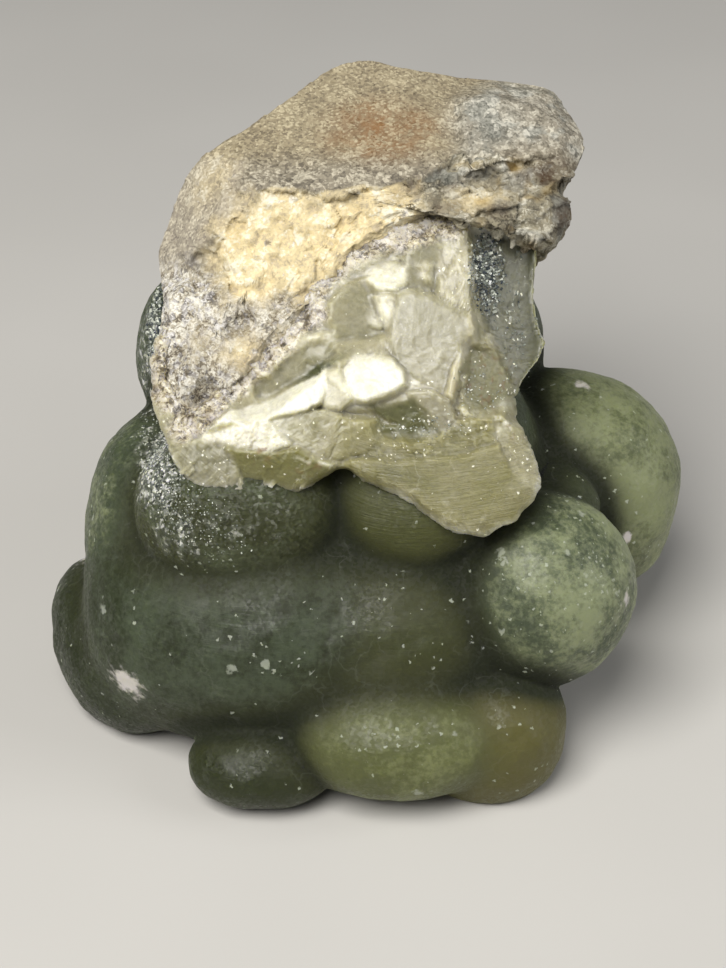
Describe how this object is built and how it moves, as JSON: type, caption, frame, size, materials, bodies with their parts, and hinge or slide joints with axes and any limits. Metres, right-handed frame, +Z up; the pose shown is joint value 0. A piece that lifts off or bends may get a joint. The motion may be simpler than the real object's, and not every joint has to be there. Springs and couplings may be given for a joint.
{
  "type": "prehnite hand specimen",
  "caption": "Raw prehnite hand specimen: rounded green grape-like lobes with a broken crystalline face, under a cap of grey and cream host rock.",
  "frame": {"origin": "bottom centre of the specimen's bounding box, on its flat base", "axes": "+Z up from the base, -Y towards the broken front face, +X to the viewer's right"},
  "size_m": [0.0622, 0.0542, 0.0541],
  "materials": {
    "prehnite": "satin",
    "host_rock": "matte"
  },
  "bodies": {
    "root": {"prehnite": "prehnite", "host_rock": "host_rock"}
  },
  "joints": []
}
